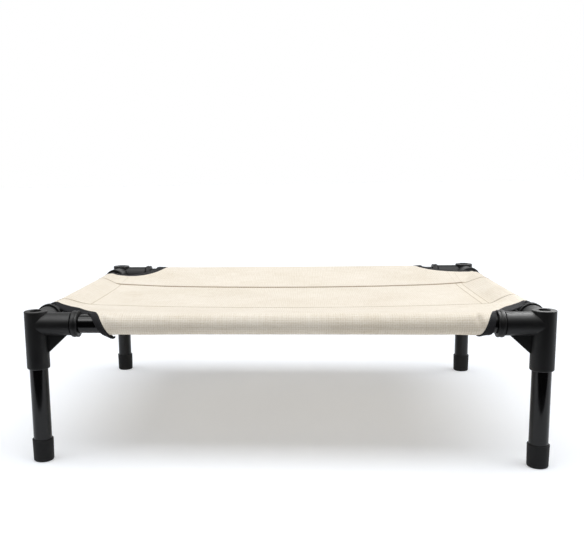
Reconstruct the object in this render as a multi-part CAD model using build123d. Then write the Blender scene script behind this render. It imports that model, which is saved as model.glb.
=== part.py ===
from build123d import *
from math import acos, atan2, cos, hypot, sin
import os

# A raised cot for a small pet: four tube legs and four tube rails push into moulded
# corner connectors, and a cloth cover sewn round the rails makes the bed.
# Origin on the floor under the middle of the bed, X along the length, Z up. Millimetres.

# Overall size, measured over the leg sockets
cot_length = 600.0
cot_width = 450.0
cot_height = 180.0

# Steel tube of the legs and rails
tube_diameter = 21.5
tube_wall = 1.0
tube_end_gap = 0.3

# Corner connector
tube_fit = 0.15
socket_wall = 2.4
cap_rise = 2.0
cap_wall = 4.0
cap_hole_diameter = 13.5
cap_edge_round = 0.8
leg_socket_length = 68.0
leg_mouth_round = 1.8
rail_socket_reach = 51.2
web_thickness = 4.0
web_reach = 36.0
web_drop = 34.0

# Collar moulded round the mouth of a rail socket: a relief, a convex band, a groove and a lip
relief_width = 1.0
relief_depth = 0.7
band_width = 4.6
band_edge_height = 1.4
band_crown_height = 2.0
groove_width = 1.0
groove_height = 0.9
lip_width = 2.0
lip_height = 1.9
lip_chamfer = 0.5

# Foot cap
foot_fit = 0.1
foot_wall = 1.5
foot_height = 26.5
foot_floor = 3.2
foot_taper = 0.5
foot_bottom_round = 2.0
foot_rim_round = 0.5

# Cloth cover, sewn back on itself round each rail
cloth_thickness = 0.9
cloth_clearance = 0.1
long_seam_inset = 126.0
short_seam_inset = 28.7

# Bound edge of the cover at each corner, cut to a cone about the leg
tape_thickness = 0.5
tape_width = 8.5
cutout_gap = 6.0
cutout_flare = 0.62

# Sizes that follow from the ones above
tube_radius = tube_diameter / 2
bore_radius = tube_radius + tube_fit
socket_radius = bore_radius + socket_wall
leg_x = cot_length / 2 - socket_radius
leg_y = cot_width / 2 - socket_radius
rail_height = cot_height - cap_rise - socket_radius
rail_stop = socket_radius
leg_socket_bottom = cot_height - leg_socket_length
leg_stop = cot_height - cap_wall
foot_bore_radius = tube_radius + foot_fit
foot_radius = foot_bore_radius + foot_wall
sleeve_inner_radius = tube_radius + cloth_clearance + tape_thickness
sleeve_outer_radius = sleeve_inner_radius + cloth_thickness
tape_outer_radius = sleeve_outer_radius + tape_thickness
cutout_radius = rail_socket_reach + cutout_gap

# The corners, each with the turn about Z that brings the front left one there
corners = {
    "front_left": (-leg_x, -leg_y, 0),
    "front_right": (leg_x, -leg_y, 90),
    "back_right": (leg_x, leg_y, 180),
    "back_left": (-leg_x, leg_y, 270),
}

# The four sides, each with the rail's middle and the turn that brings the front one there
sides = {
    "front": (0, -leg_y, 0),
    "right": (leg_x, 0, 90),
    "back": (0, leg_y, 180),
    "left": (-leg_x, 0, 270),
}


def tube(length):
    """Steel tube standing on the origin along Z."""
    ring = Circle(tube_radius) - Circle(tube_radius - tube_wall)
    return extrude(ring, length)


def rail_socket():
    """Solid horizontal socket from the leg axis along X, with the collar at its mouth."""
    mouth = rail_socket_reach
    lip_start = mouth - lip_width
    band_end = lip_start - groove_width
    band_start = band_end - band_width
    relief_start = band_start - relief_width
    relief = socket_radius - relief_depth
    band_edge = socket_radius + band_edge_height
    band_crown = socket_radius + band_crown_height
    groove = socket_radius + groove_height
    lip = socket_radius + lip_height
    band_middle = (band_start + band_end) / 2
    band = ThreePointArc((band_start, band_edge), (band_middle, band_crown), (band_end, band_edge))
    after_band = Polyline(
        (band_end, band_edge),
        (band_end, groove),
        (lip_start, groove),
        (lip_start, lip),
        (mouth - lip_chamfer, lip),
        (mouth, lip - lip_chamfer),
        (mouth, 0),
        (0, 0),
        (0, socket_radius),
        (relief_start, socket_radius),
        (relief_start, relief),
        (band_start, relief),
        (band_start, band_edge),
    )
    profile = make_face(Plane.XZ * Curve([band, *after_band.edges()]))
    return revolve(profile, Axis.X)


def web():
    """Triangular web in the corner under a rail socket, in the XZ plane."""
    outline = Polygon(
        (0, 0),
        (web_reach, 0),
        (web_reach, -socket_radius),
        (socket_radius, -web_drop),
        (0, -web_drop),
        align=None,
    )
    return extrude(Plane.XZ * outline, web_thickness / 2, both=True)


def corner_connector():
    """Moulded corner at the front left, with its leg axis on Z."""
    upright = Pos(0, 0, leg_socket_bottom) * Cylinder(
        socket_radius, leg_socket_length, align=(Align.CENTER, Align.CENTER, Align.MIN)
    )
    upright = fillet(upright.edges().sort_by(Axis.Z)[0], leg_mouth_round)
    upright = fillet(upright.edges().sort_by(Axis.Z)[-1], cap_edge_round)
    arm = Pos(0, 0, rail_height) * (rail_socket() + web())
    body = upright + arm + Rot(0, 0, 90) * arm
    leg_bore = Pos(0, 0, leg_socket_bottom) * extrude(Circle(bore_radius), leg_stop - leg_socket_bottom)
    cap_hole = Pos(0, 0, leg_stop) * extrude(Circle(cap_hole_diameter / 2), cap_wall)
    rail_bore = Plane.YZ.offset(rail_stop) * Circle(bore_radius)
    rail_bore = Pos(0, 0, rail_height) * extrude(rail_bore, rail_socket_reach - rail_stop)
    return body - leg_bore - cap_hole - rail_bore - Rot(0, 0, 90) * rail_bore


def foot_cap():
    """Rubber cup under a leg, a little narrower at the floor than at its rim."""
    outside = Polygon(
        (0, 0),
        (foot_radius - foot_taper, 0),
        (foot_radius, foot_height),
        (0, foot_height),
        align=None,
    )
    cup = revolve(Plane.XZ * outside, Axis.Z)
    cup = fillet(cup.edges().sort_by(Axis.Z)[0], foot_bottom_round)
    cup = fillet(cup.edges().sort_by(Axis.Z)[-1], foot_rim_round)
    return cup - Pos(0, 0, foot_floor) * extrude(Circle(foot_bore_radius), foot_height - foot_floor)


def leg_tube():
    """Leg from the floor of its foot cap up to the stop in its connector."""
    return Pos(0, 0, foot_floor) * tube(leg_stop - tube_end_gap - foot_floor)


def rail_tube(corner_distance):
    """Rail along X between two connectors whose leg axes are this far from its middle."""
    half = corner_distance - rail_stop - tube_end_gap
    return Pos(-half, 0, 0) * Rot(0, 90, 0) * tube(2 * half)


def slope_angle(inset):
    """Angle round the rail, from the level inward, where the cloth leaves it for the seam."""
    return atan2(cloth_thickness, inset) + acos(sleeve_outer_radius / hypot(inset, cloth_thickness))


def loop_outline(radius, angle, end_x, end_y):
    """Closed outline round a rail: an arc and two straight runs to a blunt or sharp end."""
    top = (radius * cos(angle), radius * sin(angle))
    low = (top[0], -top[1])
    arc = ThreePointArc(low, (-radius, 0), top)
    ends = [(end_x, end_y), (end_x, -end_y)] if end_y > 0 else [(end_x, 0)]
    return make_face(Curve([arc, *Polyline(top, *ends, low).edges()]))


def sleeve_layer(inset, half_length, grow):
    """Cloth loop along X round a rail, closing at its seam, and thicker each way by grow."""
    angle = slope_angle(inset)
    outer_radius = sleeve_outer_radius + grow
    inner_radius = sleeve_inner_radius - grow
    seam_half = (outer_radius - inset * cos(angle)) / sin(angle)
    outside = loop_outline(outer_radius, angle, inset, seam_half)
    inside = loop_outline(inner_radius, angle, inner_radius / cos(angle), 0)
    section = Plane(origin=(-half_length, 0, 0), x_dir=(0, 1, 0), z_dir=(1, 0, 0)) * (outside - inside)
    return extrude(section, 2 * half_length)


def mitre_start(inset, other_inset):
    """How far from the leg axis, along its rail, two neighbouring slopes are level over that rail."""
    angle = slope_angle(inset)
    other = slope_angle(other_inset)
    return sleeve_outer_radius * (1 - sin(other) / sin(angle)) / cos(other)


def mitred(layer, inset, other_inset, half_length):
    """Keeps what lies between the two mitres, where the neighbouring sleeves take over."""
    start = mitre_start(inset, other_inset)
    start_inset = max(0, -start * inset / (other_inset - start))
    at_rail = half_length - max(0, start)
    at_seam = half_length - other_inset
    depth = 2 * tape_outer_radius
    plan = Polygon(
        (-at_rail, -depth),
        (at_rail, -depth),
        (at_rail, start_inset),
        (at_seam, inset),
        (-at_seam, inset),
        (-at_rail, start_inset),
        align=None,
    )
    return layer & extrude(plan, depth, both=True)


def side_layer(name, grow=0.0):
    """Cloth of one side in its place, cut at its mitres but not yet at its corners."""
    x, y, turn = sides[name]
    long_side = name in ("front", "back")
    inset = long_seam_inset if long_side else short_seam_inset
    other_inset = short_seam_inset if long_side else long_seam_inset
    half_length = leg_x if long_side else leg_y
    layer = mitred(sleeve_layer(inset, half_length, grow), inset, other_inset, half_length)
    return Pos(x, y, rail_height) * Rot(0, 0, turn) * layer


def cutout(name, margin=0.0):
    """Cone about a leg that scoops the corner out of the cover, widening downwards."""
    x, y, _ = corners[name]
    depth = 2 * tape_outer_radius
    middle = cutout_radius + margin + cutout_flare * sleeve_outer_radius
    return Pos(x, y, rail_height) * Cone(
        middle + cutout_flare * depth, middle - cutout_flare * depth, 2 * depth
    )


def sleeping_panel():
    """Single layer of cloth inside the four seams."""
    return Pos(0, 0, rail_height) * Box(
        2 * (leg_x - short_seam_inset), 2 * (leg_y - long_seam_inset), cloth_thickness
    )


def rail_sleeve(name):
    """Cloth round one rail, from seam to seam, with both corners cut out."""
    sleeve = side_layer(name)
    for corner in corners:
        sleeve -= cutout(corner)
    return sleeve


def corner_binding(name, sleeves):
    """Tape folded over the cut edge of the two sleeves that meet at a corner."""
    end, side = name.split("_")
    ring = cutout(name, tape_width) - cutout(name, -tape_thickness)
    band = (side_layer(end, tape_thickness) & ring) + (side_layer(side, tape_thickness) & ring)
    return band - sleeves[end] - sleeves[side]


os.makedirs("parts", exist_ok=True)

for corner, (x, y, turn) in corners.items():
    place = Pos(x, y, 0) * Rot(0, 0, turn)
    export_step(place * corner_connector(), f"parts/corner_connector_{corner}.step")
    export_step(place * leg_tube(), f"parts/leg_tube_{corner}.step")
    export_step(place * foot_cap(), f"parts/foot_cap_{corner}.step")

for side, (x, y, turn) in sides.items():
    reach = leg_x if side in ("front", "back") else leg_y
    rail = Pos(x, y, rail_height) * Rot(0, 0, turn) * rail_tube(reach)
    export_step(rail, f"parts/{side}_rail.step")

sleeves = {side: rail_sleeve(side) for side in sides}
for side, sleeve in sleeves.items():
    export_step(sleeve, f"parts/{side}_sleeve.step")
for corner in corners:
    export_step(corner_binding(corner, sleeves), f"parts/corner_binding_{corner}.step")
export_step(sleeping_panel(), "parts/sleeping_panel.step")
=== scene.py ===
"""Looks of a raised dog bed: a cream canvas cover sewn round a black tube frame."""

from dataclasses import astuple, dataclass
from math import log, pi, radians

import bmesh
import bpy
import numpy as np
from bpy.props import FloatProperty, FloatVectorProperty, PointerProperty
from mathutils import Euler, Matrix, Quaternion, Vector


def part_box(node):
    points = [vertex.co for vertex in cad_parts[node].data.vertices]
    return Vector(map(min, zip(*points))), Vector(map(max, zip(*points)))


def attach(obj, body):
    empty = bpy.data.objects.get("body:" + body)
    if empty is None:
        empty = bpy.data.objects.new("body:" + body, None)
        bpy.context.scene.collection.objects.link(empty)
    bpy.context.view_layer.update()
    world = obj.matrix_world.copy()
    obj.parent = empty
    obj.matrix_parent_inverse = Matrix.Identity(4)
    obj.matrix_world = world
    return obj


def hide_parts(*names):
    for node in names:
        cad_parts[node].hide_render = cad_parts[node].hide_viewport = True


bl_info = {
    "name": "Raised Dog Bed",
    "version": (1, 0, 0),
    "blender": (4, 5, 0),
    "location": "View3D > Sidebar > Dog Bed",
    "description": "Canvas cover, bound corners, stitching and finishes of a raised dog bed",
    "category": "Object",
}

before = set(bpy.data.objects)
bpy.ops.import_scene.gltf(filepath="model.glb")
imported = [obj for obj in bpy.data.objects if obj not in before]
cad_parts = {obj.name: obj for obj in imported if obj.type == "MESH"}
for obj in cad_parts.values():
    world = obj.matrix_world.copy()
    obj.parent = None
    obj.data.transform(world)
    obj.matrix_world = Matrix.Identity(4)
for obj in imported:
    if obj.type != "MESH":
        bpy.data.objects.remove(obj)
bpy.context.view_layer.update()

MM = 0.001


def middle(node):
    """Middle of a node's box."""
    low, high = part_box(node)
    return (low + high) / 2


def linear(code):
    """Linear colour, with alpha, of an sRGB hex code."""
    part = np.array([int(code[i : i + 2], 16) for i in (1, 3, 5)]) / 255
    part = np.where(part <= 0.04045, part / 12.92, ((part + 0.055) / 1.055) ** 2.4)
    return (*part.tolist(), 1.0)


# Places read from the frame: the leg axes, the rails' height, the seams and the cloth itself
LEG_X, LEG_Y = middle("leg_tube_back_right")[:2]
RAIL_Z = middle("back_rail").z
PANEL_LOW, PANEL_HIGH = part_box("sleeping_panel")
CLOTH = PANEL_HIGH.z - PANEL_LOW.z
SHORT_INSET = LEG_X - PANEL_HIGH.x
LONG_INSET = LEG_Y - PANEL_HIGH.y
WRAP_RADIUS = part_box("back_sleeve")[1].y - LEG_Y - CLOTH / 2
HALF_TURN = pi * WRAP_RADIUS
SIDES = ("front", "back", "left", "right")


def length(name, description, millimetres):
    """Length that a user can set."""
    return FloatProperty(name=name, description=description, default=millimetres * MM, unit="LENGTH")


def colour(name, description, code):
    """Colour that a user can set, from its sRGB hex code."""
    return FloatVectorProperty(
        name=name, description=description, subtype="COLOR", size=4, default=linear(code)
    )


class DogBedSizes(bpy.types.PropertyGroup):
    """Sizes of the sewn cover that the frame doesn't set"""

    sag: length("Sag", "How far the middle of the panel hangs below the rails' axes", 6.5)
    hem: length("Hem", "Canvas that runs on past the seam underneath", 7)
    hem_step: length("Hem step", "Height of the folded hem that lies on top along the long seams", 1.5)
    pull_height: length("Pull fold height", "Height of the folds that fan out from the corners", 0.8)
    crease_height: length("Crease height", "Height of the creases where the corners are pulled hardest", 1.3)
    tape_thickness: length("Tape thickness", "Thickness of one layer of the corner tape", 0.5)
    stitch_pitch: length("Stitch pitch", "Distance from one stitch to the next", 3.4)
    thread_diameter: length("Thread diameter", "Diameter of the sewing thread", 0.6)


class DogBedColours(bpy.types.PropertyGroup):
    """Colours of the finishes"""

    canvas: colour("Canvas", "Undyed cream of the cover", "#FDF6EA")
    canvas_slub: colour("Canvas slubs", "Darker cream of the thick places in the yarn", "#E0D4BF")
    thread: colour("Seam thread", "Thread of the four seams", "#CDBFA8")
    # The seam shade is painted shade: the canvas is coloured darker along its seams in place of the shadow
    # in their needle lines and folds.
    seam: colour("Seam shade", "Shade in the needle line of the seams", "#8A765F")
    tape: colour("Corner tape", "Woven tape over the corner edges", "#0E0E0F")
    tape_fibre: colour("Tape fibre", "Worn fibre on the ribs of the tape, and its thread", "#363639")
    connector: colour("Connectors", "Moulded plastic of the corners", "#070708")
    connector_flow: colour("Connector flow", "Paler swirls where the plastic flowed", "#0D0D0E")
    tube: colour("Tubes", "Enamel of the legs and rails", "#050506")
    foot: colour("Feet", "Rubber of the foot caps", "#080809")
    foot_bloom: colour("Foot bloom", "Greyish bloom on the rubber", "#101011")


# Flat pattern of the cover

# How softly the cloth turns at the seams, over the mitres and where the corners pull it up, the gap between
# its layers underneath, and the hollow of a straight edge
SEAM_ROUND = 3 * MM
MITRE_ROUND = 3 * MM
PULL_ROUND = 2.5 * MM
LAYER_GAP = 1.1 * MM
STRAIGHT = 0.5


def seam_run(inset):
    """Flat distance from the line on top of a rail to its seam: a bit of arc and a straight slope."""
    return WRAP_RADIUS * np.arcsin(WRAP_RADIUS / inset) + np.sqrt(inset**2 - WRAP_RADIUS**2)


SHORT_SEAM = seam_run(SHORT_INSET)
LONG_SEAM = seam_run(LONG_INSET)
HALF_WIDTH = LEG_X - SHORT_INSET + SHORT_SEAM
HALF_DEPTH = LEG_Y - LONG_INSET + LONG_SEAM


@dataclass(frozen=True)
class CornerEdge:
    """An edge of the cover round one corner, in flat distances from the two rails' top lines.

    It crosses the long rail's top line at `long` from the short rail's and the short rail's at `short`.
    Between them it curves into the bed, straight at a `hollow` of a half and deeper above that, and down
    the outside of each rail it slants away from the corner.
    """

    long: float
    short: float
    hollow: float
    long_slant: float = 0.0
    short_slant: float = 0.0

    def underneath(self):
        """The same edge where it comes back under the bed, half a turn down each slant, and straight."""
        return CornerEdge(
            self.long + self.long_slant * HALF_TURN, self.short + self.short_slant * HALF_TURN, STRAIGHT
        )

    def towards(self, other, share):
        """The edge that lies this share of the way to another."""
        pairs = zip(astuple(self), astuple(other))
        return CornerEdge(*[mine + share * (theirs - mine) for mine, theirs in pairs])

    def swapped(self):
        """The edge with its long and short rails exchanged."""
        return CornerEdge(self.short, self.long, self.hollow, self.short_slant, self.long_slant)

    def scoop(self, t):
        """Quadratic curve from the long rail's top line (t 0) to the short rail's (t 1)."""
        bent = 2 * t * (1 - t) * self.hollow
        return ((1 - t) ** 2 + bent) * self.long, (t**2 + bent) * self.short

    def from_short_rail(self, inward):
        """Distance from the short rail's line at this distance inward from the long rail's line."""
        share = np.clip(inward / self.short, 0, 1)
        t = share / (self.hollow + np.sqrt(self.hollow**2 + (1 - 2 * self.hollow) * share))
        return self.scoop(t)[0]

    def reach(self, a, b):
        """1 on the scoop and more inside the bed: a rounded sum of both distances through its middle."""
        power = log(2) / -log(0.25 + 0.5 * self.hollow)
        a = np.maximum(a, 0) / self.long
        b = np.maximum(b, 0) / self.short
        return (a**power + b**power) ** (1 / power)


@dataclass(frozen=True)
class Corner:
    """One corner of the cover: where it is, its two edges, and how the tape's edge is carried.

    The tape's edge hangs by `slack` between the tops of the two rails, leans towards the leg by `lean`, and
    hangs off the long rail by `tail`. The canvas ends in the fold of the tape, on `hidden`. Past the short
    seam the long one turns out towards the corner by the share `turn`.
    """

    side: int
    end: int
    tape: CornerEdge
    cut: CornerEdge
    hidden: CornerEdge
    slack: float
    lean: float
    tail: float
    turn: float


def flat_long(distance):
    """Flat distance from the short rail's top line of a point this far from the leg axis."""
    return distance * MM + HALF_WIDTH - LEG_X


def flat_short(distance):
    """Flat distance from the long rail's top line of a point this far from the leg axis."""
    return distance * MM + HALF_DEPTH - LEG_Y


# Along the short rails the corners are alike: millimetres from the leg axis to the tape's edge and to the
# cut, and their slant. The canvas ends a share of the way from the tape's edge to the cut.
TAPE_SHORT = 76
CUT_SHORT = 67
SHORT_SLANT = 0.42
CANVAS_IN_TAPE = 0.4


def corner(side, end, tape_long, cut_long, hollow, slants, slack, lean=0.0, tail=0.0, turn=0.0):
    """Corner from millimetres along the long rail from the leg axis, and its tape's and cut's slants."""
    tape = CornerEdge(flat_long(tape_long), flat_short(TAPE_SHORT), hollow, slants[0], SHORT_SLANT)
    cut = CornerEdge(flat_long(cut_long), flat_short(CUT_SHORT), hollow, slants[1], SHORT_SLANT)
    hidden = tape.towards(cut, CANVAS_IN_TAPE)
    return Corner(side, end, tape, cut, hidden, slack * MM, lean, tail * MM, turn)


# The cover sits unevenly: to the right along the front rail, slack at the back left, tight elsewhere
CORNERS = {
    "front_left": corner(-1, -1, 72.4, 63.4, 0.60, (0.53, 0.53), slack=1.0, lean=0.8, tail=4.2, turn=0.8),
    "front_right": corner(1, -1, 56.5, 51.8, 0.64, (0.42, 0.20), slack=1.0, lean=0.8, tail=1.2),
    "back_right": corner(1, 1, 80.0, 71.0, 0.74, (0.46, 0.46), slack=1.4, turn=-0.4),
    "back_left": corner(-1, 1, 78.0, 63.0, 0.86, (0.46, 0.46), slack=6.0),
}


def section(run, inset):
    """Section of the cover across a rail, by flat distance inward from the line on top of the tube.

    Inward it follows the tube to a tangent, slopes straight to the seam and runs level from there.
    Below zero it goes down the outside of the tube, and past half a turn it mirrors the top underneath.
    Gives the distance inward from the rail's axis, the height off it, and +1 over or -1 under it.
    """
    under = run < -HALF_TURN / 2
    run = np.where(under, -HALF_TURN - run, run)
    lean = np.arccos(WRAP_RADIUS / inset)
    arc = WRAP_RADIUS * (pi / 2 - lean)
    slope = np.sqrt(inset**2 - WRAP_RADIUS**2)
    angle = pi / 2 - np.minimum(run, arc) / WRAP_RADIUS
    to_seam = 1 - (run - arc) / slope
    travelled = np.clip(1 - to_seam, 0, 1)
    past = np.maximum(run - arc - slope, 0)
    inward = WRAP_RADIUS * np.cos(angle) + travelled * (inset - WRAP_RADIUS * np.cos(lean)) + past
    falling = (to_seam + np.sqrt(to_seam**2 + (SEAM_ROUND / slope) ** 2)) / 2
    height = np.where(run < arc, WRAP_RADIUS * np.sin(angle), WRAP_RADIUS * np.sin(lean) * falling)
    return inward, height, np.where(under, -1.0, 1.0)


def higher(one, other, width):
    """The higher of two heights, rounded over where they come within this width of each other."""
    return np.maximum(one, other) + np.maximum(width - abs(one - other), 0) ** 2 / (4 * width)


def in_corner(p, q, place):
    """Flat distances from the two rails' top lines at one corner, and whether a point is in its quarter."""
    inside = (p * place.side > 0) & (q * place.end > 0)
    return HALF_WIDTH - abs(p), HALF_DEPTH - abs(q), inside


# Least sum of two shares that is divided by
LEAST_SHARE = 0.01


def corner_pull(p, q, height):
    """Height over the rails' axes with the corners pulled up to the tape and leaning in past it.

    At each corner the tape's edge hangs between the rails by a parabola. A cone falls from it into the bed,
    to nothing at twice its distance, and the tape falls towards the leg, most in the middle of the scoop.
    """
    for place in CORNERS.values():
        a, b, inside = in_corner(p, q, place)
        inside &= (a > 0) & (b > 0)
        reach = place.tape.reach(a, b)
        a_share = np.maximum(a / place.tape.long, 0)
        b_share = np.maximum(b / place.tape.short, 0)
        halfway = 4 * a_share * b_share / np.maximum(a_share + b_share, LEAST_SHARE) ** 2
        edge = WRAP_RADIUS - place.slack * halfway
        pulled = higher(height, edge * (2 - np.maximum(reach, 1)), PULL_ROUND)
        pulled -= place.lean * place.tape.long * np.maximum(1 - reach, 0) * halfway
        height = np.where(inside, pulled, height)
    return height


# Tail of the tape: how far round the long rail it hangs, and its spread along the edge, on tape and canvas
TAIL_PLACE = 0.95 * HALF_TURN
TAIL_ALONG = 7 * MM
TAIL_ON_TAPE = 5 * MM
TAIL_ON_CANVAS = 1.0 * MM


def tail_drop(p, q):
    """Drop of the bound edge off the long rail: a bell, long over the tape and short on the canvas."""
    drop = np.zeros_like(p)
    for place in CORNERS.values():
        a, b, inside = in_corner(p, q, place)
        past_tape = a - place.tape.long - place.tape.long_slant * TAIL_PLACE
        across = past_tape / np.where(past_tape < 0, TAIL_ON_TAPE, TAIL_ON_CANVAS)
        along = (b + TAIL_PLACE) / TAIL_ALONG
        drop += np.where(inside, place.tail * np.exp(-(across**2 + along**2) / 2), 0)
    return drop


# Hem on top: where its step starts from the seam, its width and its fall, how soon it ends past the short
# seams, and the share of its height at the front
STEP_START = -0.3 * MM
STEP_WIDTH = 1.2 * MM
STEP_FADE = 18 * MM
HEM_END = 12 * MM
FRONT_HEM = 0.1


def seam_turn(p, q):
    """How far the long seams have turned to the corners: a share of the distance past the short ones."""
    past = np.maximum(abs(p) - HALF_WIDTH + SHORT_SEAM, 0)
    turned = [np.where(in_corner(p, q, place)[2], place.turn * past, 0) for place in CORNERS.values()]
    return sum(turned)


def hem_rise(from_seam, sizes):
    """Height of the folded hem on top by distance from its seam: a steep step, then a slow fall."""
    share = np.clip((from_seam - STEP_START) / STEP_WIDTH, 0, 1)
    return sizes.hem_step * share**2 * (3 - 2 * share) * np.exp(-np.maximum(from_seam, 0) / STEP_FADE)


def cover_place(p, q, sizes, loose):
    """Place of a flat point on the cover stretched over the rails.

    Each way is folded by `section`. Inside the rails the higher of the two slopes carries the cloth, with
    a soft ridge where they meet, the corners are pulled up, and the middle sags by a parabola each way.
    Underneath, the long flaps hang away from the panel towards their seams, and the short ones twice as far.
    What is loose, as the tape is, also hangs in tails off the long rails.
    """
    from_short, from_long = HALF_WIDTH - abs(p), HALF_DEPTH - abs(q)
    inward_x, height_x, over_x = section(from_short, SHORT_INSET)
    inward_y, height_y, over_y = section(from_long, LONG_INSET)
    x = np.sign(p) * (LEG_X - inward_x)
    y = np.sign(q) * (LEG_Y - inward_y)
    height = corner_pull(p, q, higher(height_x, height_y, MITRE_ROUND))
    height = np.where((from_short < 0) & (from_short > -HALF_TURN), height_x, height)
    height = np.where((from_long < 0) & (from_long > -HALF_TURN), height_y, height)
    hang = sizes.sag * np.clip(1 - (x / LEG_X) ** 2, 0, 1) * np.clip(1 - (y / LEG_Y) ** 2, 0, 1)
    below = np.where(over_y < 0, np.clip(inward_y / LONG_INSET, 0, 1) * LAYER_GAP, 0)
    below += np.where(over_x < 0, np.clip(inward_x / SHORT_INSET, 0, 1) * 2 * LAYER_GAP, 0)
    hem = hem_rise(LONG_SEAM - from_long, sizes) * np.where(q < 0, FRONT_HEM, 1)
    hem *= np.where(from_long > 0, np.clip(1 - (SHORT_SEAM - from_short) / HEM_END, 0, 1), 0)
    z = RAIL_Z + over_x * over_y * height + hem - hang - below - loose * tail_drop(p, q)
    return np.stack([x, y, z], axis=-1)


# Pull folds: how many to a turn, how far out they are highest, and by how much, in radians, each corner's
# and each crossing's are out of step with the last
FOLDS_PER_TURN = 9
FOLD_REACH = 24 * MM
CORNER_SHIFT = 1.7
CROSSING_SHIFT = 2.3

# Creases: the corner, their two ends as millimetres inward from the short and the long rail's top line,
# negative down the outside, their share of the full height, negative for a valley, and their half width
CREASES = (
    ("front_right", (75, 4), (69, -20), 1.3, 1.7),
    ("front_right", (79, 0), (73, -24), -1.2, 2.4),
    ("front_right", (62, 4), (70, 80), 0.6, 2.0),
    ("front_right", (15, 110), (12, 270), 1.2, 9.0),
    ("front_right", (2, 117), (20, 90), -0.6, 3.0),
    ("front_left", (92, 14), (128, 6), 0.4, 2.6),
    ("front_left", (32, 114), (35, 78), 0.5, 2.6),
    ("front_left", (84, 0), (92, -20), 0.4, 3.0),
    ("back_right", (74, 16), (96, 46), 1.0, 2.6),
    ("back_left", (82, 26), (104, 62), 1.0, 2.6),
    ("back_left", (92, 8), (122, 22), 1.0, 2.6),
)


def pull_folds(p, q, sizes):
    """Height of the folds that fan out from where the tape crosses each rail.

    Round each crossing it is a sine of the angle, which rises and dies away with the distance.
    """
    height = np.zeros_like(p)
    for number, place in enumerate(CORNERS.values()):
        crossings = (
            (place.side * (HALF_WIDTH - place.tape.long), place.end * HALF_DEPTH),
            (place.side * HALF_WIDTH, place.end * (HALF_DEPTH - place.tape.short)),
        )
        for turn, (p0, q0) in enumerate(crossings):
            reach = np.hypot(p - p0, q - q0) / FOLD_REACH
            angle = np.arctan2(q - q0, p - p0)
            shift = CORNER_SHIFT * number + CROSSING_SHIFT * turn
            wave = (1 + np.sin(FOLDS_PER_TURN * angle + shift)) / 2
            height += sizes.pull_height * wave * reach * np.exp(1 - reach)
    return height


def creases(p, q, sizes):
    """Height of the single creases: a bell across each one's line, which swells between its ends."""
    height = np.zeros_like(p)
    for name, start, finish, rise, half_width in CREASES:
        place = CORNERS[name]
        a, b, inside = in_corner(p, q, place)
        a0, b0 = start[0] * MM, start[1] * MM
        step_a, step_b = finish[0] * MM - a0, finish[1] * MM - b0
        span = np.hypot(step_a, step_b)
        along = ((a - a0) * step_a + (b - b0) * step_b) / span**2
        across = ((a - a0) * step_b - (b - b0) * step_a) / span
        swell = np.sin(pi * np.clip(along, 0, 1))
        bell = np.exp(-((across / (half_width * MM)) ** 2))
        height += np.where(inside, rise * sizes.crease_height * swell * bell, 0)
    return height


SLOPE_STEP = 0.2 * MM


def cover_point(p, q, sizes, loose=False):
    """Place of a flat point with its folds, and the outward direction there, from two short steps."""
    step = SLOPE_STEP
    base = cover_place(p, q, sizes, loose)
    along_p = cover_place(p + step, q, sizes, loose) - cover_place(p - step, q, sizes, loose)
    along_q = cover_place(p, q + step, sizes, loose) - cover_place(p, q - step, sizes, loose)
    outward = np.cross(along_p, along_q)
    outward /= np.linalg.norm(outward, axis=-1, keepdims=True)
    folds = pull_folds(p, q, sizes) + creases(p, q, sizes)
    return base + outward * folds[..., None], outward


def divided(*stretches):
    """Places along a line: each (start, end, cells) stretch is divided evenly, and neighbours share ends."""
    parts = [np.linspace(start, end, cells + 1)[:-1] for start, end, cells in stretches]
    return np.append(np.concatenate(parts), stretches[-1][1])


def ruled(low, high, share, line):
    """Flat grid of straight rows: places from low to high at the given shares, each row on its own line."""
    along = low[:, None] + (high - low)[:, None] * share[None, :]
    return along, np.repeat(line[:, None], len(share), axis=1)


def corner_at(side, end):
    """The corner at this side and end of the bed."""
    return next(place for place in CORNERS.values() if (place.side, place.end) == (side, end))


# Where the grid is close: rows before and after the long seams, rows underneath from the rail on, and
# columns inward from the short seams
STEP_BEFORE = 1.0 * MM
STEP_AFTER = 1.6 * MM
SCOOP_BENEATH = 80 * MM
CORNER_ZONE = 50 * MM


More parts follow.
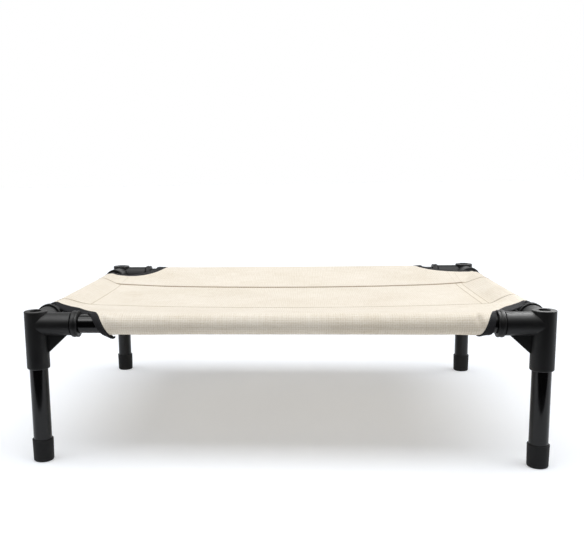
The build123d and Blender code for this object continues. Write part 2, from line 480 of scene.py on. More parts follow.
def cover_patches(sizes):
    """Flat grids that make up the cover: the top, and a flap over each rail and back underneath.

    The top's rows end on the scooped edges. A flap's ends follow the slanted cut down the outside, and
    underneath the straight edge again. Rows are close over the hem's step, and columns near the corners.
    """
    panel_w = HALF_WIDTH - SHORT_SEAM
    panel_d = HALF_DEPTH - LONG_SEAM
    straight = HALF_DEPTH - corner_at(1, 1).hidden.short
    plain = panel_w - CORNER_ZONE
    half_columns = divided((0, plain, 25), (plain, panel_w, 32), (panel_w, HALF_WIDTH, 14))
    across = np.concatenate([-half_columns[:0:-1], half_columns])
    share_p = (across + HALF_WIDTH) / (2 * HALF_WIDTH)
    inner, outer = panel_d - STEP_BEFORE, panel_d + STEP_AFTER
    half_rows = divided((0, inner, 22), (inner, outer, 7), (outer, straight, 14))
    middle_rows = np.concatenate([-half_rows[:0:-1], half_rows])
    share_q = (middle_rows + straight) / (2 * straight)
    corner_rows = np.linspace(straight, HALF_DEPTH, 25)[1:]
    rows = np.concatenate([-corner_rows[::-1], middle_rows, corner_rows])

    def row_end(side):
        """How far each row of the top reaches to one side."""
        inward = HALF_DEPTH - abs(rows)
        front, back = (corner_at(side, end).hidden.from_short_rail(inward) for end in (-1, 1))
        return HALF_WIDTH - np.where(abs(rows) > straight, np.where(rows < 0, front, back), 0)

    patches = [ruled(-row_end(-1), row_end(1), share_p, rows)]

    scooped = HALF_TURN + SCOOP_BENEATH
    seam = HALF_TURN + LONG_SEAM
    down = divided(
        (0, HALF_TURN, 16), (HALF_TURN, scooped, 20), (scooped, seam, 8), (seam, seam + sizes.hem, 3)
    )

    def long_end(side, end):
        """How far each row of a long flap reaches to one side."""
        edge = corner_at(side, end).hidden
        outside = edge.long + edge.long_slant * down
        beneath = np.maximum(edge.underneath().from_short_rail(down - HALF_TURN), SHORT_SEAM)
        return HALF_WIDTH - np.where(down < HALF_TURN, outside, beneath)

    for end in (-1, 1):
        p, q = ruled(-long_end(-1, end), long_end(1, end), share_p, end * (HALF_DEPTH + down))
        patches.append((p[::end], q[::end]))

    seam = HALF_TURN + SHORT_SEAM
    down_short = divided((0, HALF_TURN, 16), (HALF_TURN, seam, 12), (seam, seam + sizes.hem, 3))

    def short_end(side, end):
        """How far each row of a short flap reaches to one end."""
        edge = corner_at(side, end).hidden
        outside = edge.short + edge.short_slant * down_short
        beneath = edge.underneath().swapped().from_short_rail(down_short - HALF_TURN)
        return HALF_DEPTH - np.where(down_short < HALF_TURN, outside, beneath)

    for side in (-1, 1):
        q, p = ruled(-short_end(side, -1), short_end(side, 1), share_q, side * (HALF_WIDTH + down_short))
        patches.append((p[::side].T, q[::side].T))
    return patches


# The second row's distance from the right seam, and the factors that draw a seam's painted shade line
# thicker and thinner
SECOND_ROW = 8.7 * MM
THICKER = 0.6
THINNER = 2.0


def seam_distances(p, q):
    """Signed distances from the long seams, the short seams and the second row at the right, over and under.

    A distance made smaller draws the painted shade of its seam thicker: the long ones where no hem stands
    up, at the front and past the short seams. One made larger draws it thinner: the short ones under the
    hem, past the long ones.
    """
    p_size, q_size = abs(p), abs(q)
    over = q_size - HALF_DEPTH + LONG_SEAM - seam_turn(p, q)
    no_hem = (q < 0) | (p_size > HALF_WIDTH - SHORT_SEAM)
    long = np.minimum(over, HALF_DEPTH + HALF_TURN + LONG_SEAM - q_size) * np.where(no_hem, THICKER, 1)
    short = np.minimum(p_size - HALF_WIDTH + SHORT_SEAM, HALF_WIDTH + HALF_TURN + SHORT_SEAM - p_size)
    second = p - HALF_WIDTH + SHORT_SEAM + SECOND_ROW
    under_hem = np.where(long > 0, THINNER, 1)
    return np.stack([long, short * under_hem, second * under_hem], axis=-1)


# Meshes


def grid_faces(rows, columns, closed=False):
    """Corner numbers of a grid's quads, row by row. A closed grid joins its ends both ways."""
    row, column = np.meshgrid(np.arange(rows), np.arange(columns), indexing="ij")
    if not closed:
        row, column = row[:-1, :-1], column[:-1, :-1]
    right = (column + 1) % columns
    above = (row + 1) % rows
    low, high = row * columns, above * columns
    return np.stack([low + column, low + right, high + right, high + column], axis=-1).reshape(-1, 4)


def stacked(parts):
    """One list of points and one of faces from several (points, faces) pairs."""
    starts = np.cumsum([0, *[len(points) for points, _ in parts]])
    faces = [faces + start for (_, faces), start in zip(parts, starts)]
    return np.concatenate([points for points, _ in parts]), np.concatenate(faces)


def new_piece(name, points, faces, material):
    """Smooth-shaded mesh from whole arrays, at the origin, which rides on the frame."""
    mesh = bpy.data.meshes.new(name)
    mesh.from_pydata(points.reshape(-1, 3), [], faces)
    mesh.shade_smooth()
    mesh.materials.append(material)
    piece = bpy.data.objects.new(name, mesh)
    bpy.context.scene.collection.objects.link(piece)
    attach(piece, "root")
    return piece


def set_vector(mesh, name, values):
    """Stores one vector for each vertex under this name."""
    layer = mesh.attributes.new(name, "FLOAT_VECTOR", "POINT")
    layer.data.foreach_set("vector", values.astype(np.float32).ravel())


SAME_PLACE = 0.02 * MM


def merge_doubles(mesh):
    """Merges the vertices that neighbouring patches share."""
    work = bmesh.new()
    work.from_mesh(mesh)
    bmesh.ops.remove_doubles(work, verts=work.verts, dist=SAME_PLACE)
    work.to_mesh(mesh)
    work.free()


def make_cover(patches, sizes, colours):
    """The whole canvas, folded from its flat grids and given its thickness."""
    parts = [(cover_point(p, q, sizes)[0].reshape(-1, 3), grid_faces(*p.shape)) for p, q in patches]
    points, faces = stacked(parts)
    cover = new_piece("canvas_cover", points, faces, oxford_canvas(colours))
    p = np.concatenate([p.ravel() for p, _ in patches])
    q = np.concatenate([q.ravel() for _, q in patches])
    set_vector(cover.data, "flat", np.stack([p, q, np.zeros_like(p)], axis=-1))
    set_vector(cover.data, "seams", seam_distances(p, q))
    merge_doubles(cover.data)
    thick = cover.modifiers.new("thickness", "SOLIDIFY")
    thick.thickness = CLOTH
    thick.offset = 0
    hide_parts("sleeping_panel", *[f"{side}_sleeve" for side in SIDES])
    return cover


def corner_loop(place, share, count):
    """Flat places of the closed line round a corner's opening, a share of the way from tape edge to cut.

    Along the scoop on top, down the short rail, back along the edge underneath and up the long rail.
    """
    t = np.linspace(0, 1, count, endpoint=False)[:, None]
    tape, cut = place.tape, place.cut
    down = HALF_TURN * np.repeat(t, share.size, axis=1)
    up = HALF_TURN - down

    def mixed(at_tape, at_cut):
        """The places that lie the share of the way from the tape's edge to the cut."""
        return at_tape + share * (at_cut - at_tape)

    top_a, top_b = map(mixed, tape.scoop(t), cut.scoop(t))
    low_a, low_b = map(mixed, tape.underneath().scoop(1 - t), cut.underneath().scoop(1 - t))
    beside_short = mixed(tape.short + tape.short_slant * down, cut.short + cut.short_slant * down)
    beside_long = mixed(tape.long + tape.long_slant * up, cut.long + cut.long_slant * up)
    a = np.concatenate([top_a, -down, low_a, beside_long])
    b = np.concatenate([top_b, beside_short, -HALF_TURN - low_b, -up])
    return place.side * (HALF_WIDTH - a), place.end * (HALF_DEPTH - b)


# Section of the folded tape: shares of the way from its edge to the cut, and of its half thickness
TAPE_SECTION = np.array(
    [
        (0.0, 0.55), (0.03, 0.94), (0.3, 1.0), (0.7, 1.0), (0.95, 0.9), (1.04, 0.5),
        (1.04, -0.5), (0.95, -0.9), (0.7, -1.0), (0.3, -1.0), (0.03, -0.94), (0.0, -0.55),
    ]
)
TAPE_WIDTH = 9 * MM
TAPE_STEPS = 60


def make_binding(name, sizes, material):
    """Tape folded over one corner's cut edge: a flat closed section carried round the opening."""
    place = CORNERS[name]
    half = CLOTH / 2 + sizes.tape_thickness
    across, through = TAPE_SECTION.T
    p, q = corner_loop(place, across[None, :], TAPE_STEPS)
    base, outward = cover_point(p, q, sizes, loose=True)
    points = base + outward * (through * half)[None, :, None]
    faces = grid_faces(*p.shape, closed=True)
    if place.side * place.end > 0:
        faces = faces[:, ::-1]
    tape = new_piece(f"tape_{name}", points, faces, material)
    run = np.linalg.norm(np.diff(base[:, 0], axis=0, prepend=base[-1:, 0]), axis=-1).cumsum()
    flat = np.stack(np.broadcast_arrays(run[:, None], across[None, :] * TAPE_WIDTH, 0.0), axis=-1)
    set_vector(tape.data, "flat", flat)
    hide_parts(f"corner_binding_{name}")


def capsule():
    """One stitch of unit length and thickness: four rings of six along X, with closed ends."""
    rings = np.array([(-0.5, 0.4), (-0.32, 1.0), (0.32, 1.0), (0.5, 0.4)])
    angle = np.arange(6) * pi / 3
    ring = np.stack([np.zeros(6), np.cos(angle), np.sin(angle)], axis=-1) / 2
    points = ring[None] * rings[:, 1][:, None, None]
    points = points + rings[:, 0][:, None, None] * np.array([1.0, 0, 0])
    first = np.arange(3)[:, None] * 6 + np.arange(6)[None]
    following = np.arange(3)[:, None] * 6 + (np.arange(6)[None] + 1) % 6
    sides = np.stack([first, following, following + 6, first + 6], axis=-1).reshape(-1, 4)
    ends = np.array([(3, 2, 1, 0), (5, 4, 3, 0), (18, 19, 20, 21), (18, 21, 22, 23)])
    return points.reshape(-1, 3), np.concatenate([sides, ends])


# Stitches: where one starts and how long it is, in shares of the pitch, how far its thread's middle stands
# off the cloth, the points on a seam's line, how far the long seams run on down the short rails, and the
# share of the way from the tape's edge to the cut where the tape is sewn
STITCH_START = 0.1
STITCH_SHARE = 0.8
THREAD_LIFT = 0.1 * MM
SEAM_STEPS = 900
SEAM_TAIL = 0.8 * HALF_TURN
TAPE_STITCH = 0.16


def stitches_along(p, q, lift, sizes, loose):
    """Stitches laid end to end along a flat line, each turned along it and raised off the cloth."""
    place, outward = cover_point(p, q, sizes, loose)
    steps = np.linalg.norm(np.diff(place, axis=0), axis=-1)
    run = np.concatenate([[0], steps.cumsum()])
    count = int(run[-1] / sizes.stitch_pitch)
    starts = (np.arange(count) + STITCH_START) * sizes.stitch_pitch
    ends = starts + STITCH_SHARE * sizes.stitch_pitch

    def at(where, values):
        """Values at these distances along the line."""
        return np.stack([np.interp(where, run, column) for column in values.T], axis=-1)

    first, last = at(starts, place), at(ends, place)
    up = at((starts + ends) / 2, outward)
    along = last - first
    beside = np.cross(up, along)
    beside /= np.linalg.norm(beside, axis=-1, keepdims=True)
    shape, faces = capsule()
    thread = sizes.thread_diameter
    points = (
        ((first + last) / 2 + up * lift)[:, None]
        + along[:, None] * shape[None, :, :1]
        + beside[:, None] * shape[None, :, 1:2] * thread
        + up[:, None] * shape[None, :, 2:] * thread
    )
    numbers = faces[None] + (np.arange(count) * len(shape))[:, None, None]
    return points.reshape(-1, 3), numbers.reshape(-1, 4)


def make_stitches(name, lines, lift, material, sizes, loose=False):
    """One mesh of all the stitches along several flat lines."""
    points, faces = stacked([stitches_along(p, q, lift, sizes, loose) for p, q in lines])
    new_piece(name, points, faces, material)


def seam_lines():
    """Flat lines of the four seams, on top and underneath.

    The long seams run on over the short rails. On top the short ones stop at them, and the right one is
    double.
    """
    lines = []
    steps = np.linspace(-1, 1, SEAM_STEPS)
    for end in (-1, 1):
        over = steps * (HALF_WIDTH + SEAM_TAIL)
        seam = HALF_DEPTH - LONG_SEAM + seam_turn(over, np.full_like(steps, end))
        lines.append((over, end * seam))
        under = end * (HALF_DEPTH + HALF_TURN + LONG_SEAM)
        lines.append((steps * (HALF_WIDTH - SHORT_SEAM), np.full_like(steps, under)))
    for side, inset in ((-1, SHORT_SEAM), (1, SHORT_SEAM), (1, SHORT_SEAM + SECOND_ROW)):
        lines.append((np.full_like(steps, side * (HALF_WIDTH - inset)), steps * (HALF_DEPTH - LONG_SEAM)))
    for side in (-1, 1):
        front, back = (
            end * (HALF_DEPTH - corner_at(side, end).tape.underneath().swapped().from_short_rail(SHORT_SEAM))
            for end in (-1, 1)
        )
        under = side * (HALF_WIDTH + HALF_TURN + SHORT_SEAM)
        lines.append((np.full_like(steps, under), (front + back) / 2 + (back - front) / 2 * steps))
    return lines


def tape_lines():
    """Flat lines of the stitching that holds the tapes, just inside their edge, all round each corner."""
    share = np.array([[TAPE_STITCH]])
    loops = [corner_loop(place, share, 2 * TAPE_STEPS) for place in CORNERS.values()]
    return [(p[:, 0], q[:, 0]) for p, q in loops]


# Materials


def add_node(tree, kind, inputs=None, **settings):
    """Adds a node, sets its fields and fills its inputs.

    A value is set, a socket is linked, and a node is linked by its first output in use.
    """
    node = tree.nodes.new(kind)
    for field, value in settings.items():
        setattr(node, field, value)
    for name, value in (inputs or {}).items():
        if isinstance(value, bpy.types.Node):
            value = next(output for output in value.outputs if output.enabled)
        if isinstance(value, bpy.types.NodeSocket):
            tree.links.new(value, node.inputs[name])
        else:
            node.inputs[name].default_value = value
    return node


def new_material(name):
    """A new material, and its node tree, still empty."""
    material = bpy.data.materials.new(name)
    material.use_nodes = True
    material.node_tree.nodes.clear()
    return material, material.node_tree


def finished(material, sockets):
    """Gives the material a surface with these sockets, and returns it."""
    surface = add_node(material.node_tree, "ShaderNodeBsdfPrincipled", sockets)
    add_node(material.node_tree, "ShaderNodeOutputMaterial", {"Surface": surface})
    return material


# Distance after which a wave texture repeats at a scale of 1
WAVE_RATE = pi / 10


def oxford_canvas(colours):
    """Plain-woven cotton oxford, undyed.

    Thick and thin yarn gives short darker slubs along both threads, and the weave gives a fine grain. The
    seams get a thin painted shade, with a groove in the bump, where the needle pulls the cloth in. The weave
    is drawn at
    2.6 mm, four times its pitch, to show.
    """
    material, tree = new_material("cotton_oxford_canvas")
    flat = add_node(tree, "ShaderNodeAttribute", attribute_name="flat").outputs["Vector"]
    pitch = 2.6 * MM
    weft, warp = (
        add_node(
            tree, "ShaderNodeTexWave",
            {"Vector": flat, "Scale": WAVE_RATE / pitch, "Distortion": 1.2, "Detail": 2.0},
            bands_direction=direction,
        ).outputs["Fac"]
        for direction in ("Y", "X")
    )
    squares = add_node(tree, "ShaderNodeTexChecker", {"Vector": flat, "Scale": 1 / pitch})
    weave = add_node(tree, "ShaderNodeMix", {"Factor": squares.outputs["Fac"], "A": weft, "B": warp})
    slubs = []
    for lengthwise, crosswise in ((26 * MM, 1.6 * MM), (1.6 * MM, 26 * MM)):
        stretched = add_node(
            tree, "ShaderNodeMapping", {"Vector": flat, "Scale": (1 / lengthwise, 1 / crosswise, 1)}
        )
        slub = add_node(tree, "ShaderNodeTexNoise", {"Vector": stretched, "Scale": 1.0, "Detail": 3.0})
        slubs.append(slub)
    yarn = add_node(tree, "ShaderNodeMix", {"Factor": 0.4, "A": slubs[0], "B": slubs[1]})
    patchy = add_node(tree, "ShaderNodeTexNoise", {"Vector": flat, "Scale": 1 / (90 * MM), "Detail": 2.0})
    cloudy = add_node(tree, "ShaderNodeMix", {"Factor": 0.3, "A": yarn, "B": patchy})
    flecks = add_node(tree, "ShaderNodeTexNoise", {"Vector": flat, "Scale": 1 / (1.6 * MM), "Detail": 1.0})
    speckle = add_node(tree, "ShaderNodeMix", {"Factor": 0.4, "A": flecks, "B": weave})
    mottle = add_node(tree, "ShaderNodeMix", {"Factor": 0.35, "A": cloudy, "B": speckle})
    share = add_node(tree, "ShaderNodeMapRange", {"Value": mottle, "From Min": 0.38, "From Max": 0.66})
    cream = add_node(
        tree, "ShaderNodeMix", {"Factor": share, "A": colours.canvas[:], "B": colours.canvas_slub[:]},
        data_type="RGBA",
    )
    # Painted shade along the seams: the seam shade colour is mixed in near each seam line, and the same mask
    # dents the bump.
    seams = add_node(tree, "ShaderNodeAttribute", attribute_name="seams").outputs["Vector"]
    away = add_node(tree, "ShaderNodeVectorMath", {0: seams}, operation="ABSOLUTE")
    each = add_node(tree, "ShaderNodeSeparateXYZ", {"Vector": away}).outputs
    shorts = add_node(tree, "ShaderNodeMath", {0: each["Y"], 1: each["Z"]}, operation="MINIMUM")
    long_seam_shade, short_seam_shade = (
        add_node(
            tree, "ShaderNodeMapRange",
            {"Value": value, "From Min": 0.2 * MM, "From Max": reach, "To Min": strength, "To Max": 0.0},
        )
        for value, reach, strength in ((each["X"], 1.3 * MM, 1.0), (shorts, 0.8 * MM, 0.32))
    )
    needle = add_node(tree, "ShaderNodeMath", {0: long_seam_shade, 1: short_seam_shade}, operation="MAXIMUM")
    shade = add_node(
        tree, "ShaderNodeMix", {"Factor": needle, "A": cream, "B": colours.seam[:]}, data_type="RGBA"
    )
    grain = add_node(tree, "ShaderNodeMath", {0: weave, 1: yarn}, operation="ADD")
    relief = add_node(tree, "ShaderNodeMath", {0: grain, 1: needle}, operation="SUBTRACT")
    bump = add_node(tree, "ShaderNodeBump", {"Strength": 0.35, "Distance": 0.25 * MM, "Height": relief})
    return finished(
        material,
        {
            "Base Color": shade,
            "Roughness": 0.85,
            "Specular IOR Level": 0.25,
            "Sheen Weight": 0.1,
            "Sheen Roughness": 0.5,
            "Normal": bump,
        },
    )


def woven_tape(colours):
    """Black woven polyester tape: fine ribs across its width and a dull fibre sheen."""
    material, tree = new_material("polyester_woven_tape")
    flat = add_node(tree, "ShaderNodeAttribute", attribute_name="flat").outputs["Vector"]
    ribs = add_node(
        tree, "ShaderNodeTexWave",
        {"Vector": flat, "Scale": WAVE_RATE / (1.3 * MM), "Distortion": 0.8, "Detail": 2.0},
        bands_direction="X",
    )
    fibre = add_node(tree, "ShaderNodeTexNoise", {"Vector": flat, "Scale": 1 / (2.5 * MM), "Detail": 3.0})
    height = add_node(tree, "ShaderNodeMix", {"Factor": 0.4, "A": ribs.outputs["Fac"], "B": fibre})
    worn = add_node(
        tree, "ShaderNodeMix", {"Factor": height, "A": colours.tape[:], "B": colours.tape_fibre[:]},
        data_type="RGBA",
    )
    bump = add_node(tree, "ShaderNodeBump", {"Strength": 0.5, "Distance": 0.3 * MM, "Height": height})
    return finished(
        material,
        {
            "Base Color": worn,
            "Roughness": 0.75,
            "Specular IOR Level": 0.1,
            "Sheen Weight": 0.05,
            "Sheen Roughness": 0.4,
            "Normal": bump,
        },
    )


def spun_thread(name, shade):
    """Spun polyester sewing thread: dull, with the twist of its plies too fine to show but as grain."""
    material, tree = new_material(name)
    place = add_node(tree, "ShaderNodeTexCoord").outputs["Object"]
    grain = add_node(tree, "ShaderNodeTexNoise", {"Vector": place, "Scale": 1 / (0.8 * MM), "Detail": 2.0})
    bump = add_node(tree, "ShaderNodeBump", {"Strength": 0.3, "Distance": 0.1 * MM, "Height": grain})
    return finished(
        material, {"Base Color": shade[:], "Roughness": 0.7, "Specular IOR Level": 0.3, "Normal": bump}
    )


# Relief behind each collar: its middle from the socket's mouth and from the leg axis, the half widths of
# its floor and its top, and the depth that it is drawn with, more than its own, to show
RELIEF_FROM_MOUTH = 8.1 * MM
RELIEF_PLACE = LEG_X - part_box("corner_connector_back_right")[0].x - RELIEF_FROM_MOUTH
RELIEF_FLOOR = 0.5 * MM
RELIEF_TOP = 1.1 * MM
RELIEF_DEPTH = 2 * MM


def moulded_polypropylene(colours):
    """Black polypropylene from a spark-eroded mould: a fine even grain that dulls the light to a soft glow.

    The relief behind each collar is a matt notch, found by its distance from the leg along either rail.
    """
    material, tree = new_material("polypropylene_moulded")
    place = add_node(tree, "ShaderNodeTexCoord").outputs["Object"]
    grain = add_node(tree, "ShaderNodeTexNoise", {"Vector": place, "Scale": 1 / (0.9 * MM), "Detail": 3.0})
    flow = add_node(tree, "ShaderNodeTexNoise", {"Vector": place, "Scale": 1 / (30 * MM), "Detail": 3.0})
    dull = add_node(
        tree, "ShaderNodeMapRange",
        {"Value": flow, "From Min": 0.3, "From Max": 0.7, "To Min": 0.44, "To Max": 0.54},
    )
    quarter = add_node(tree, "ShaderNodeVectorMath", {0: place}, operation="ABSOLUTE")
    relief = (LEG_X - RELIEF_PLACE, LEG_Y - RELIEF_PLACE, 0)
    past = add_node(tree, "ShaderNodeVectorMath", {0: quarter, 1: relief}, operation="SUBTRACT")
    away = add_node(tree, "ShaderNodeVectorMath", {0: past}, operation="ABSOLUTE")
    each = add_node(tree, "ShaderNodeSeparateXYZ", {"Vector": away}).outputs
    nearest = add_node(tree, "ShaderNodeMath", {0: each["X"], 1: each["Y"]}, operation="MINIMUM")
    notch = add_node(
        tree, "ShaderNodeMapRange",
        {"Value": nearest, "From Min": RELIEF_FLOOR, "From Max": RELIEF_TOP, "To Min": 1.0, "To Max": 0.0},
    )
    matt = add_node(tree, "ShaderNodeMix", {"Factor": notch, "A": dull, "B": 1.0})
    shade = add_node(
        tree, "ShaderNodeMix", {"Factor": flow, "A": colours.connector[:], "B": colours.connector_flow[:]},
        data_type="RGBA",
    )
    fine = add_node(tree, "ShaderNodeBump", {"Strength": 0.25, "Distance": 0.1 * MM, "Height": grain})
    bump = add_node(
        tree, "ShaderNodeBump",
        {"Strength": 1.0, "Distance": RELIEF_DEPTH, "Height": notch, "Normal": fine},
        invert=True,
    )
    return finished(
        material,
        {"Base Color": shade, "Roughness": matt, "IOR": 1.49, "Specular IOR Level": 0.36, "Normal": bump},
    )


def enamelled_steel(colours):
    """Steel tube with baked black enamel: a hard gloss with a trace of orange peel."""
    material, tree = new_material("steel_black_enamel")
    place = add_node(tree, "ShaderNodeTexCoord").outputs["Object"]
    peel = add_node(tree, "ShaderNodeTexNoise", {"Vector": place, "Scale": 1 / (3 * MM), "Detail": 1.0})
    smear = add_node(tree, "ShaderNodeTexNoise", {"Vector": place, "Scale": 1 / (25 * MM), "Detail": 4.0})
    gloss = add_node(
        tree, "ShaderNodeMapRange",
        {"Value": smear, "From Min": 0.3, "From Max": 0.7, "To Min": 0.1, "To Max": 0.16},
    )
    bump = add_node(tree, "ShaderNodeBump", {"Strength": 0.06, "Distance": 0.1 * MM, "Height": peel})
    return finished(
        material,
        {
            "Base Color": colours.tube[:],
            "Roughness": gloss,
            "IOR": 1.52,
            "Specular IOR Level": 0.3,
            "Normal": bump,
        },
    )


def moulded_rubber(colours):
    """Black rubber cup, pressed in a plain mould: dull, with a little bloom and scuffing."""
    material, tree = new_material("rubber_moulded")
    place = add_node(tree, "ShaderNodeTexCoord").outputs["Object"]
    grain = add_node(tree, "ShaderNodeTexNoise", {"Vector": place, "Scale": 1 / (1.2 * MM), "Detail": 3.0})
    bloom = add_node(tree, "ShaderNodeTexNoise", {"Vector": place, "Scale": 1 / (14 * MM), "Detail": 4.0})
    shade = add_node(
        tree, "ShaderNodeMix", {"Factor": bloom, "A": colours.foot[:], "B": colours.foot_bloom[:]},
        data_type="RGBA",
    )
    bump = add_node(tree, "ShaderNodeBump", {"Strength": 0.3, "Distance": 0.12 * MM, "Height": grain})
    return finished(
        material,
        {"Base Color": shade, "Roughness": 0.62, "IOR": 1.5, "Specular IOR Level": 0.25, "Normal": bump},
    )


# Stage

# Camera fitted to the photograph: its place and turns, the picture's size, the lens in its pixels, and the
# sensor's width in millimetres
CAMERA_PLACE = (0.0223, -1.0520, 0.3342)
CAMERA_DOWN = radians(9.02)
CAMERA_LEFT = radians(4.53)
CAMERA_ROLL = radians(-0.93)
IMAGE_WIDTH = 584
IMAGE_HEIGHT = 538
FOCAL_PIXELS = 756.3
CENTRE_PIXEL = (243.9, 292.7)
SENSOR = 36

WHITE = (1.0, 1.0, 1.0, 1.0)

# Paper: its front edge and its reach, the white that is seen and that light bounces off, and its glow
FLOOR_FRONT = -0.43
FLOOR_REACH = 20.0
PAPER_SEEN = linear("#E5E9EF")
PAPER_BOUNCE = linear("#F4F4F4")
PAPER_GLOW = 0.26

# Room: its even light, and how bright its ceiling and backdrop mirror by how nearly a ray points that way
AMBIENT = 0.30
CEILING = ((0.0, 0.75, 1.0), {"From Min": -0.3, "From Max": 0.6, "To Min": 0.03, "To Max": 0.7})
BACKDROP = ((0.15, 0.95, 0.2), {"From Min": 0.85, "From Max": 0.95, "To Min": 0.0, "To Max": 0.8})

# Lamps: their lean to the front and to the right in degrees, distance, size and power, and whether they
# light everything. The softboxes only mirror in what is glossy.
LAMPS = (
    ("strip_lamp", (6, 4), 80.0, (130.0, 58.0), 74000, True),
    ("right_softbox", (12, 41), 0.52, (0.35, 0.09), 2.1, False),
    ("left_softbox", (33, -30), 1.25, (0.8, 0.35), 4.0, False),
)


def add_camera(scene):
    """Camera at the photograph's view, with its shift from the picture's middle."""
    lens = bpy.data.cameras.new("view")
    lens.sensor_width = SENSOR
    lens.lens = FOCAL_PIXELS / IMAGE_WIDTH * SENSOR
    lens.shift_x = (IMAGE_WIDTH / 2 - CENTRE_PIXEL[0]) / IMAGE_WIDTH
    lens.shift_y = (CENTRE_PIXEL[1] - IMAGE_HEIGHT / 2) / IMAGE_WIDTH
    camera = bpy.data.objects.new("view", lens)
    camera.location = CAMERA_PLACE
    camera.rotation_mode = "QUATERNION"
    aim = Euler((pi / 2 - CAMERA_DOWN, 0, CAMERA_LEFT)).to_quaternion()
    camera.rotation_quaternion = aim @ Quaternion((0, 0, 1), CAMERA_ROLL)
    scene.collection.objects.link(camera)
    scene.camera = camera


def seen_directly(tree):
    """1 for rays from the camera, and 1 for rays from a mirror or glass."""
    path = add_node(tree, "ShaderNodeLightPath").outputs
    mirrored = add_node(
        tree, "ShaderNodeMath", {0: path["Is Glossy Ray"], 1: path["Is Transmission Ray"]},
        operation="MAXIMUM",
    )
    return path["Is Camera Ray"], mirrored


def add_floor(scene):
    """White paper that ends just below the picture: part of its white glows, so it keeps a pale shadow."""
    near, far = FLOOR_FRONT, FLOOR_REACH
    corners = [(-far, near, 0), (far, near, 0), (far, far, 0), (-far, far, 0)]
    mesh = bpy.data.meshes.new("floor")
    mesh.from_pydata(corners, [], [(0, 1, 2, 3)])
    material, tree = new_material("paper_white")
    to_camera, mirrored = seen_directly(tree)
    direct = add_node(tree, "ShaderNodeMath", {0: to_camera, 1: mirrored}, operation="MAXIMUM")
    seen = add_node(tree, "ShaderNodeBsdfDiffuse", {"Color": PAPER_SEEN})
    glow = add_node(tree, "ShaderNodeEmission", {"Color": WHITE, "Strength": PAPER_GLOW})
    paper = add_node(tree, "ShaderNodeAddShader", {0: seen, 1: glow})
    bounce = add_node(tree, "ShaderNodeBsdfDiffuse", {"Color": PAPER_BOUNCE})
    both = add_node(tree, "ShaderNodeMixShader", {0: direct, 1: bounce, 2: paper})
    add_node(tree, "ShaderNodeOutputMaterial", {"Surface": both})
    mesh.materials.append(material)
    floor = bpy.data.objects.new("floor", mesh)
    scene.collection.objects.link(floor)


def add_light(scene):
    """Soft studio light: an even white room, which mirrors dark in front, a wide lamp and two softboxes."""
    world = bpy.data.worlds.new("studio")
    world.use_nodes = True
    tree = world.node_tree
    tree.nodes.clear()
    to_camera, mirrored = seen_directly(tree)
    way = add_node(tree, "ShaderNodeTexCoord").outputs["Generated"]
    walls = []
    for middle_way, levels in (CEILING, BACKDROP):
        facing = add_node(tree, "ShaderNodeVectorMath", {0: way, 1: middle_way}, operation="DOT_PRODUCT")
        wall = add_node(
            tree, "ShaderNodeMapRange", {"Value": facing, **levels}, interpolation_type="SMOOTHSTEP"
        )
        walls.append(wall)
    room = add_node(tree, "ShaderNodeMath", {0: walls[0], 1: walls[1]}, operation="ADD")
    ambient, around, white = (
        add_node(tree, "ShaderNodeBackground", {"Color": WHITE, "Strength": strength})
        for strength in (AMBIENT, room, 1.0)
    )
    lit = add_node(tree, "ShaderNodeMixShader", {0: mirrored, 1: ambient, 2: around})
    shown = add_node(tree, "ShaderNodeMixShader", {0: to_camera, 1: lit, 2: white})
    add_node(tree, "ShaderNodeOutputWorld", {"Surface": shown})
    scene.world = world
    for name, (front, right), distance, size, power, everywhere in LAMPS:
        light = bpy.data.lights.new(name, "AREA")
        light.shape = "RECTANGLE"
        light.size, light.size_y = size
        light.energy = power
        lamp = bpy.data.objects.new(name, light)
        turn = Euler((radians(front), radians(right), 0))
        lamp.rotation_euler = turn
        lamp.location = turn.to_matrix() @ Vector((0, 0, distance))
        lamp.visible_diffuse = everywhere
        lamp.visible_camera = False
        scene.collection.objects.link(lamp)
    scene.view_settings.view_transform = "Standard"


# Operators


class DOGBED_OT_stage(bpy.types.Operator):
    """Set up the floor, the light and the camera"""

    bl_idname = "dogbed.stage"
    bl_label = "Stage"

    def execute(self, context):
        add_camera(context.scene)
        add_floor(context.scene)
        add_light(context.scene)
        return {"FINISHED"}


class DOGBED_OT_frame_finishes(bpy.types.Operator):
    """Give the connectors, tubes and feet their finishes"""

    bl_idname = "dogbed.frame_finishes"
    bl_label = "Frame Finishes"

    def execute(self, context):
        colours = context.scene.dogbed_colours
        plastic = moulded_polypropylene(colours)
        enamel = enamelled_steel(colours)
        rubber = moulded_rubber(colours)
        finishes = {f"{side}_rail": enamel for side in SIDES}
        for name in CORNERS:
            finishes[f"corner_connector_{name}"] = plastic
            finishes[f"leg_tube_{name}"] = enamel
            finishes[f"foot_cap_{name}"] = rubber
        for node, finish in finishes.items():
            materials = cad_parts[node].data.materials
            materials.clear()
            materials.append(finish)
        return {"FINISHED"}


class DOGBED_OT_corner_bindings(bpy.types.Operator):
    """Fold the black tape over the four corner edges and stitch it down"""

    bl_idname = "dogbed.corner_bindings"
    bl_label = "Corner Bindings"

    def execute(self, context):
        sizes = context.scene.dogbed_sizes
        colours = context.scene.dogbed_colours
        woven = woven_tape(colours)
        for name in CORNERS:
            make_binding(name, sizes, woven)
        thread = spun_thread("polyester_tape_thread", colours.tape_fibre)
        lift = CLOTH / 2 + sizes.tape_thickness + THREAD_LIFT
        make_stitches("tape_stitches", tape_lines(), lift, thread, sizes, loose=True)
        return {"FINISHED"}


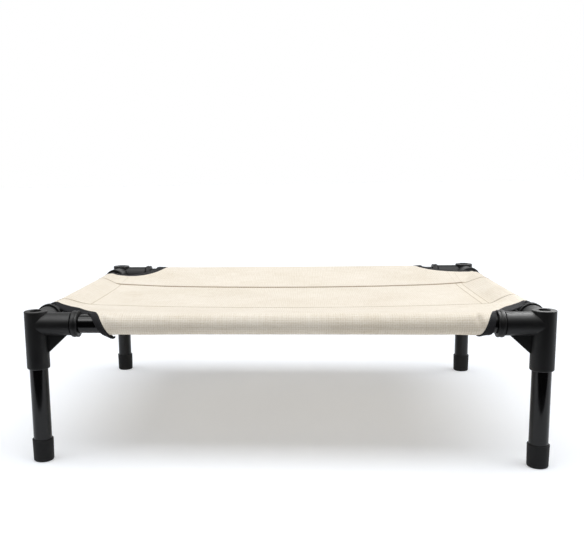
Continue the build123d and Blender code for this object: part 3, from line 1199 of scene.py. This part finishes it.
class DOGBED_OT_seam_stitches(bpy.types.Operator):
    """Sew the seams along the four rails"""

    bl_idname = "dogbed.seam_stitches"
    bl_label = "Seam Stitches"

    def execute(self, context):
        sizes = context.scene.dogbed_sizes
        thread = spun_thread("polyester_seam_thread", context.scene.dogbed_colours.thread)
        make_stitches("seam_stitches", seam_lines(), CLOTH / 2 + THREAD_LIFT, thread, sizes)
        return {"FINISHED"}


class DOGBED_OT_canvas_cover(bpy.types.Operator):
    """Stretch the canvas over the rails, with the tapes and stitches on it"""

    bl_idname = "dogbed.canvas_cover"
    bl_label = "Canvas Cover"

    def execute(self, context):
        sizes = context.scene.dogbed_sizes
        patches = cover_patches(sizes)
        cover = make_cover(patches, sizes, context.scene.dogbed_colours)
        return {"FINISHED"}


class DOGBED_PT_panel(bpy.types.Panel):
    """Sizes, colours and steps of the dog bed"""

    bl_idname = "DOGBED_PT_panel"
    bl_label = "Dog Bed"
    bl_space_type = "VIEW_3D"
    bl_region_type = "UI"
    bl_category = "Dog Bed"

    def draw(self, context):
        for group in (context.scene.dogbed_sizes, context.scene.dogbed_colours):
            for name in group.__annotations__:
                self.layout.prop(group, name)
        for step in STEPS:
            self.layout.operator(step.bl_idname)


STEPS = (
    DOGBED_OT_stage,
    DOGBED_OT_frame_finishes,
    DOGBED_OT_corner_bindings,
    DOGBED_OT_seam_stitches,
    DOGBED_OT_canvas_cover,
)
CLASSES = (DogBedSizes, DogBedColours, *STEPS, DOGBED_PT_panel)


def register():
    for kind in CLASSES:
        bpy.utils.register_class(kind)
    bpy.types.Scene.dogbed_sizes = PointerProperty(type=DogBedSizes)
    bpy.types.Scene.dogbed_colours = PointerProperty(type=DogBedColours)


def unregister():
    del bpy.types.Scene.dogbed_colours
    del bpy.types.Scene.dogbed_sizes
    for kind in reversed(CLASSES):
        bpy.utils.unregister_class(kind)


def main():
    """Builds the bed step by step."""
    register()
    bpy.ops.dogbed.stage()
    bpy.ops.dogbed.frame_finishes()
    bpy.ops.dogbed.corner_bindings()
    bpy.ops.dogbed.seam_stitches()
    bpy.ops.dogbed.canvas_cover()


if __name__ == "__main__":
    main()
